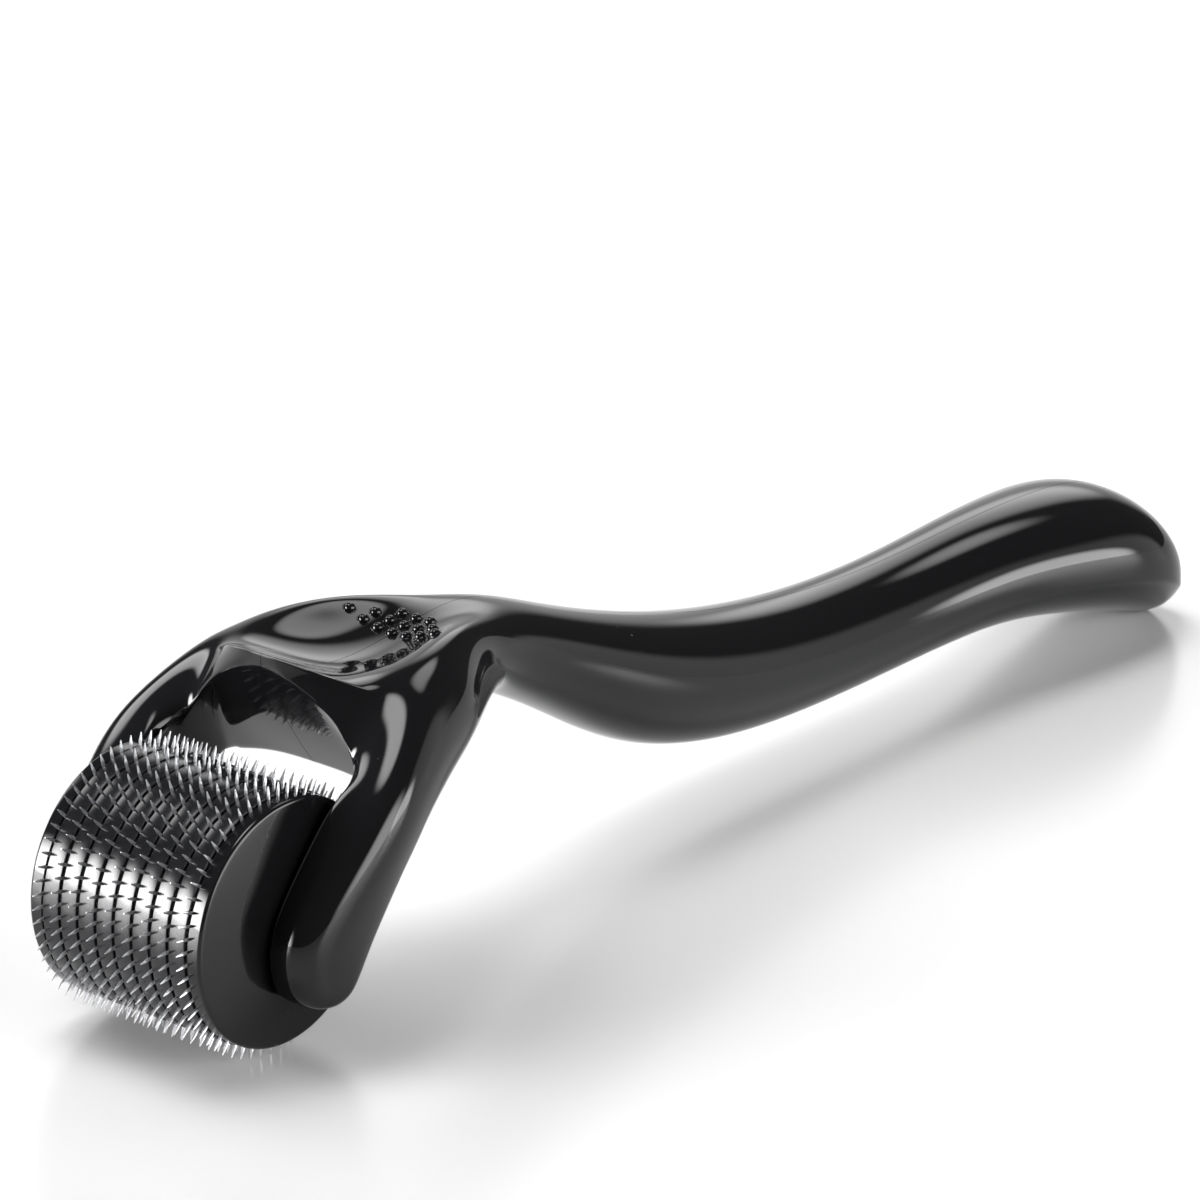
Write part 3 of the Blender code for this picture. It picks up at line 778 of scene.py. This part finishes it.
@dataclass
class Drum:
    """The turning drum: needle rows between rounded rings, closed by two domed caps."""

    steel: bpy.types.Material
    ring_plastic: bpy.types.Material
    cap_plastic: bpy.types.Material
    core_plastic: bpy.types.Material
    rows: int = 9
    needles: int = 60
    needle_width: float = 0.30 * MM
    needle_tip: float = 0.04 * MM
    needle_sides: int = 8
    shaft_share: float = 0.62
    shoulder_share: float = 0.86
    groove: float = 0.34 * MM
    disc_edge: float = 0.03 * MM
    ring_edge: float = 0.07 * MM
    bore: float = 7.56 * MM
    # Turn of each needle row about the axis, in degrees.
    phases: tuple = (3.7, 0.4, 0.5, 5.9, 1.4, 4.6, 4.9, 1.8, 5.6)

    def spacer_ring_tree(self, ring: bpy.types.NodeTree) -> bpy.types.NodeTree:
        """Tree for one spacer ring, placed and dressed."""
        tree = bpy.data.node_groups.new("spacer_ring", "GeometryNodeTree")
        add_input(tree, "Geometry", "NodeSocketGeometry")
        for name in ("Radius", "Bore", "Length", "Edge", "Place"):
            add_input(tree, name, "NodeSocketFloat", MM)
        add_input(tree, "Material", "NodeSocketMaterial")
        add_output(tree, "Geometry", "NodeSocketGeometry")
        make = Tree(tree)
        given = make.add("NodeGroupInput").outputs
        shape = make.add("GeometryNodeGroup", {"node_tree": ring})
        for name in ("Radius", "Bore", "Length", "Edge"):
            make.feed(shape.inputs[name], given[name])
        placed_output(make, shape.outputs["Geometry"], given)
        return tree

    def needle_row_tree(self, ring: bpy.types.NodeTree) -> bpy.types.NodeTree:
        """Tree for one stamped disc with its needles, placed and dressed."""
        tree = bpy.data.node_groups.new("needle_row", "GeometryNodeTree")
        add_input(tree, "Geometry", "NodeSocketGeometry")
        for name in ("Root", "Tip", "Bore", "Thickness", "Edge", "Width", "Point", "Phase", "Place"):
            add_input(tree, name, "NodeSocketFloat", MM)
        add_input(tree, "Needles", "NodeSocketInt", self.needles)
        add_input(tree, "Shaft Share", "NodeSocketFloat", self.shaft_share)
        add_input(tree, "Material", "NodeSocketMaterial")
        add_output(tree, "Geometry", "NodeSocketGeometry")
        make = Tree(tree)
        given = make.add("NodeGroupInput").outputs
        shape = make.add("GeometryNodeGroup", {"node_tree": ring})
        for name, source in (("Radius", "Root"), ("Bore", "Bore"), ("Length", "Thickness"), ("Edge", "Edge")):
            make.feed(shape.inputs[name], given[source])
        start = make.maths("SUBTRACT", given["Root"], given["Width"])
        length = make.maths("SUBTRACT", given["Tip"], start)
        shaft_length = make.maths("MULTIPLY", length, given["Shaft Share"])
        point_length = make.maths("SUBTRACT", length, shaft_length)
        half = make.maths("MULTIPLY", given["Width"], 0.5)
        shoulder = make.maths("MULTIPLY", half, self.shoulder_share)
        parts = make.add("GeometryNodeJoinGeometry")
        lift = start
        for radius_top, radius_bottom, depth in (
            (shoulder, half, shaft_length),
            (given["Point"], shoulder, point_length),
        ):
            cone = make.add(
                "GeometryNodeMeshCone",
                Vertices=self.needle_sides,
                Side_Segments=1,
                Fill_Segments=1,
                Radius_Top=radius_top,
                Radius_Bottom=radius_bottom,
                Depth=depth,
            )
            offset = make.add("ShaderNodeCombineXYZ", Z=lift)
            raised = make.add(
                "GeometryNodeTransform", Geometry=cone.outputs["Mesh"], Translation=offset.outputs[0]
            )
            tree.links.new(raised.outputs["Geometry"], parts.inputs["Geometry"])
            lift = make.maths("ADD", lift, depth)
        count = make.add("GeometryNodePoints", Count=given["Needles"])
        step = make.maths("DIVIDE", TURN, given["Needles"])
        index = make.add("GeometryNodeInputIndex").outputs[0]
        angle = make.maths("ADD", make.maths("MULTIPLY", index, step), given["Phase"])
        turn = make.add("ShaderNodeCombineXYZ", Y=TURN / 4, Z=angle)
        placed = make.add(
            "GeometryNodeInstanceOnPoints",
            Points=count.outputs["Points"],
            Instance=parts.outputs["Geometry"],
            Rotation=turn.outputs[0],
        )
        upright = make.add(
            "GeometryNodeTransform", Geometry=placed.outputs["Instances"], Rotation=(TURN / 4, 0.0, 0.0)
        )
        both = make.add("GeometryNodeJoinGeometry")
        for part in (upright.outputs["Geometry"], shape.outputs["Geometry"]):
            tree.links.new(part, both.inputs["Geometry"])
        placed_output(make, both.outputs["Geometry"], given)
        return tree

    def build_rings(self, ring: bpy.types.NodeTree) -> None:
        """Build the spacer rings, each where its CAD node is."""
        tree = self.spacer_ring_tree(ring)
        for index in range(1, self.rows):
            node = f"spacer_ring_{index}"
            low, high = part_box(node)
            item = add_piece(f"drum_ring_{index}", bpy.data.meshes.new(node))
            run_tree(
                item,
                tree,
                Radius=(high.z - low.z) / 2,
                Bore=self.bore,
                Length=high.y - low.y,
                Edge=self.ring_edge,
                Place=(low.y + high.y) / 2,
                Material=self.ring_plastic,
            )
            hand_over(item, Body.ROLLER, "ring_plastic", node)

    def build_needle_rows(self, ring: bpy.types.NodeTree) -> None:
        """Build the needle rows, each where its CAD node is."""
        tree = self.needle_row_tree(ring)
        ring_low, ring_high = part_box("spacer_ring_1")
        ring_radius = (ring_high.z - ring_low.z) / 2
        for index in range(1, self.rows + 1):
            node = f"needle_disc_{index}"
            low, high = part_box(node)
            item = add_piece(f"needle_row_{index}", bpy.data.meshes.new(node))
            run_tree(
                item,
                tree,
                Root=ring_radius - self.groove,
                Tip=DRUM_AXIS.z,
                Bore=self.bore,
                Thickness=high.y - low.y,
                Edge=self.disc_edge,
                Width=self.needle_width,
                Point=self.needle_tip,
                Phase=math.radians(self.phases[index - 1]),
                Place=(low.y + high.y) / 2,
                Material=self.steel,
            )
            hand_over(item, Body.ROLLER, "needle_steel", node)

    def build(self) -> None:
        """Build the rings, the needle rows and the caps, and dress the core."""
        ring = ring_tree()
        self.build_rings(ring)
        self.build_needle_rows(ring)
        for side in Side:
            EndCap(side, self.cap_plastic).build()
        core = frame["nodes"]["roller_core"]
        core.data.materials.clear()
        core.data.materials.append(self.core_plastic)


@dataclass
class EndCap:
    """Domed cap with a rounded rim and a stub pin, turned about the drum's axis."""

    side: Side
    material: bpy.types.Material
    rim_step: float = 0.1 * MM
    rim_length: float = 1.25 * MM
    dome: float = 0.5 * MM
    edge: float = 0.35 * MM
    edge_steps: int = 6
    dome_steps: int = 14
    pin_radius: float = 1.5 * MM
    pin_edge: float = 0.3 * MM
    pin_length: float = 2.9 * MM
    spigot_radius: float = 5.84 * MM
    spigot_length: float = 2.0 * MM
    steps: int = 160

    def profile(self, radius: float, pin_end: float) -> list[tuple[float, float]]:
        """Distance from the axis and distance from the middle plane, from the pin to the spigot."""
        crown = pin_end - self.pin_length
        face = crown - self.dome
        base = face - self.rim_length
        flat = radius - self.edge
        points = [
            (0.0, pin_end),
            (self.pin_radius - self.pin_edge, pin_end),
            (self.pin_radius, pin_end - self.pin_edge),
            (self.pin_radius, crown),
        ]
        for step in range(1, self.dome_steps):
            share = step / self.dome_steps
            out = self.pin_radius + (flat - self.pin_radius) * share
            points.append((out, face + self.dome * (1.0 - (out / radius) ** 2)))
        top = face + self.dome * (1.0 - (flat / radius) ** 2)
        for step in range(self.edge_steps + 1):
            turn = TURN / 4 * step / self.edge_steps
            drop = self.edge * (1.0 - math.cos(turn))
            points.append((flat + self.edge * math.sin(turn), top - drop))
        points += [
            (radius, base),
            (self.spigot_radius, base),
            (self.spigot_radius, base - self.spigot_length),
            (0.0, base - self.spigot_length),
        ]
        return points

    def build(self) -> None:
        """Turn the cap in its place and let it stand for its CAD node."""
        name = f"{self.side.name.lower()}_end_cap"
        low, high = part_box(name)
        radius = (high.z - low.z) / 2
        outer = high.y if self.side is Side.RIGHT else -low.y
        form = bmesh.new()
        rim = [
            form.verts.new((DRUM_AXIS.x + out, along * self.side.value, DRUM_AXIS.z))
            for out, along in self.profile(radius, outer)
        ]
        edges = [form.edges.new(pair) for pair in zip(rim, rim[1:])]
        bmesh.ops.spin(
            form,
            geom=rim + edges,
            cent=DRUM_AXIS,
            axis=(0.0, 1.0, 0.0),
            angle=TURN,
            steps=self.steps,
        )
        bmesh.ops.remove_doubles(form, verts=form.verts, dist=0.001 * MM)
        bmesh.ops.recalc_face_normals(form, faces=form.faces)
        mesh = bpy.data.meshes.new(f"{name}_turned")
        form.to_mesh(mesh)
        form.free()
        item = add_piece(f"{name}_turned", mesh, self.material)
        settle(item)
        hand_over(item, Body.ROLLER, "cap_plastic", name)


# ---------------------------------------------------------------- studio
@dataclass(frozen=True)
class Glow:
    """One soft lamp of the studio, far away: where it stands, how wide it is and how bright."""

    azimuth: float
    elevation: float
    half_angle: float
    strength: float
    softness: float = 0.6

    def direction(self) -> Vector:
        """Direction from the object to the lamp."""
        turn, rise = math.radians(self.azimuth), math.radians(self.elevation)
        return Vector((math.cos(turn) * math.cos(rise), math.sin(turn) * math.cos(rise), math.sin(rise)))


@dataclass
class Studio:
    """Pale table, soft lamps and camera."""

    surround: float = 0.05
    glows: tuple = (
        Glow(141.0, 2.0, 27.0, 36.0, 0.9),
        Glow(33.0, 24.0, 17.0, 1.8, 0.8),
        Glow(12.0, 50.0, 13.0, 3.5, 0.8),
        Glow(88.0, 32.0, 16.0, 6.0),
        Glow(100.0, 76.0, 17.0, 9.0),
        Glow(40.0, 4.0, 30.0, 0.7),
        Glow(-42.0, 0.0, 30.0, 0.8, 0.4),
        Glow(-84.0, 14.0, 30.0, 8.0, 0.85),
        Glow(-55.0, 5.0, 16.0, 9.0),
    )
    sun_strength: float = 2.2
    sun_azimuth: float = 100.0
    sun_elevation: float = 66.0
    sun_width: float = 55.0
    table_size: float = 4.0
    table_tone: float = 0.50
    table_roughness: tuple = (0.20, 0.27)
    table_specular: float = 0.35
    cloud_size: float = 14.0
    aim: tuple = (28.383 * MM, -16.384 * MM, 31.738 * MM)
    distance: float = 548.37 * MM
    azimuth: float = -51.33
    elevation: float = 20.59
    roll: float = 1.01
    lens: float = 210.0
    sensor: float = 36.0
    clip: tuple = (0.01, 20.0)

    def build_table(self) -> None:
        """Large plain pale table with a faint sheen."""
        form = bmesh.new()
        bmesh.ops.create_grid(form, x_segments=8, y_segments=8, size=self.table_size / 2)
        mesh = bpy.data.meshes.new("studio_table")
        form.to_mesh(mesh)
        form.free()
        pale = bpy.data.materials.new("table_white")
        pale.use_nodes = True
        make = Tree(pale.node_tree)
        shader = pale.node_tree.nodes["Principled BSDF"]
        place = make.add("ShaderNodeTexCoord").outputs["Object"]
        cloud = make.add("ShaderNodeTexNoise", Vector=place, Scale=self.cloud_size, Detail=3.0)
        rough = make.add("ShaderNodeMapRange", Value=cloud.outputs["Fac"])
        rough.inputs["To Min"].default_value = self.table_roughness[0]
        rough.inputs["To Max"].default_value = self.table_roughness[1]
        make.feed(shader.inputs["Roughness"], rough.outputs["Result"])
        tone = self.table_tone
        shader.inputs["Base Color"].default_value = (tone, tone, tone, 1.0)
        shader.inputs["Specular IOR Level"].default_value = self.table_specular
        add_piece("studio_table", mesh, pale)

    def build_surround(self) -> None:
        """World of faint even light with the soft lamps in it."""
        world = bpy.data.worlds.new("studio")
        bpy.context.scene.world = world
        world.use_nodes = True
        make = Tree(world.node_tree)
        toward = make.add("ShaderNodeTexCoord").outputs["Generated"]
        total: object = self.surround
        for glow in self.glows:
            near = make.add("ShaderNodeVectorMath", {"operation": "DOT_PRODUCT"})
            make.feed(near.inputs[0], toward)
            near.inputs[1].default_value = glow.direction()
            edge = math.cos(math.radians(glow.half_angle))
            core = math.cos(math.radians(glow.half_angle * (1.0 - glow.softness)))
            shape = make.add("ShaderNodeMapRange", {"interpolation_type": "SMOOTHERSTEP"})
            make.feed(shape.inputs["Value"], near.outputs["Value"])
            shape.inputs["From Min"].default_value = edge
            shape.inputs["From Max"].default_value = core
            shape.inputs["To Max"].default_value = glow.strength
            total = make.maths("ADD", total, shape.outputs["Result"])
        background = world.node_tree.nodes["Background"]
        make.feed(background.inputs["Strength"], total)
        background.inputs["Color"].default_value = (1.0, 1.0, 1.0, 1.0)

    def build_sun(self) -> None:
        """Broad key light for the table and its shadow, which the gloss does not mirror."""
        lamp = bpy.data.lights.new("key", "SUN")
        lamp.energy = self.sun_strength
        lamp.angle = math.radians(self.sun_width)
        item = bpy.data.objects.new("key", lamp)
        bpy.context.scene.collection.objects.link(item)
        toward = Glow(self.sun_azimuth, self.sun_elevation, 0.0, 0.0).direction()
        item.rotation_euler = toward.to_track_quat("Z", "Y").to_euler()
        item.visible_glossy = False

    def build_camera(self) -> None:
        """Long lens from the drum's left front, a little above."""
        turn, rise, roll = (math.radians(angle) for angle in (self.azimuth, self.elevation, self.roll))
        back = Vector((math.sin(turn) * math.cos(rise), -math.cos(turn) * math.cos(rise), math.sin(rise)))
        right = Vector((0.0, 0.0, 1.0)).cross(back).normalized()
        up = back.cross(right)
        across = right * math.cos(roll) + up * math.sin(roll)
        upward = up * math.cos(roll) - right * math.sin(roll)
        eye = Vector(self.aim) + Vector((DRUM_AXIS.x, 0.0, 0.0)) + back * self.distance
        lens = bpy.data.cameras.new("camera")
        lens.lens = self.lens
        lens.sensor_width = self.sensor
        lens.clip_start, lens.clip_end = self.clip
        item = bpy.data.objects.new("camera", lens)
        bpy.context.scene.collection.objects.link(item)
        item.matrix_world = Matrix.LocRotScale(
            eye, Matrix((across, upward, back)).transposed().to_quaternion(), None
        )
        bpy.context.scene.camera = item

    def build(self) -> None:
        """Build the table, the light and the camera."""
        self.build_table()
        self.build_surround()
        self.build_sun()
        self.build_camera()
        bpy.context.scene.view_settings.view_transform = "Standard"


def main() -> None:
    """Build the derma roller and its studio."""
    logging.basicConfig(level=logging.INFO, format="%(name)s: %(message)s")
    Studio().build()
    moulded = moulding_group()
    black = (0.0045, 0.0045, 0.005)
    handle_gloss = MouldedGloss("handle_gloss_black", black).material(moulded)
    cap_gloss = MouldedGloss("cap_gloss_black", black, gloss=0.07).material(moulded)
    ring_black = (0.006, 0.006, 0.007)
    grey = (0.05, 0.05, 0.05)
    ring_gloss = MouldedGloss("ring_gloss_black", ring_black, gloss=0.18, ior=1.42).material(moulded)
    core_plain = MouldedGloss("core_plain_grey", grey, gloss=0.4).material(moulded)
    Handle(handle_gloss).build()
    Drum(NeedleSteel().material(), ring_gloss, cap_gloss, core_plain).build()


if __name__ == "__main__":
    main()
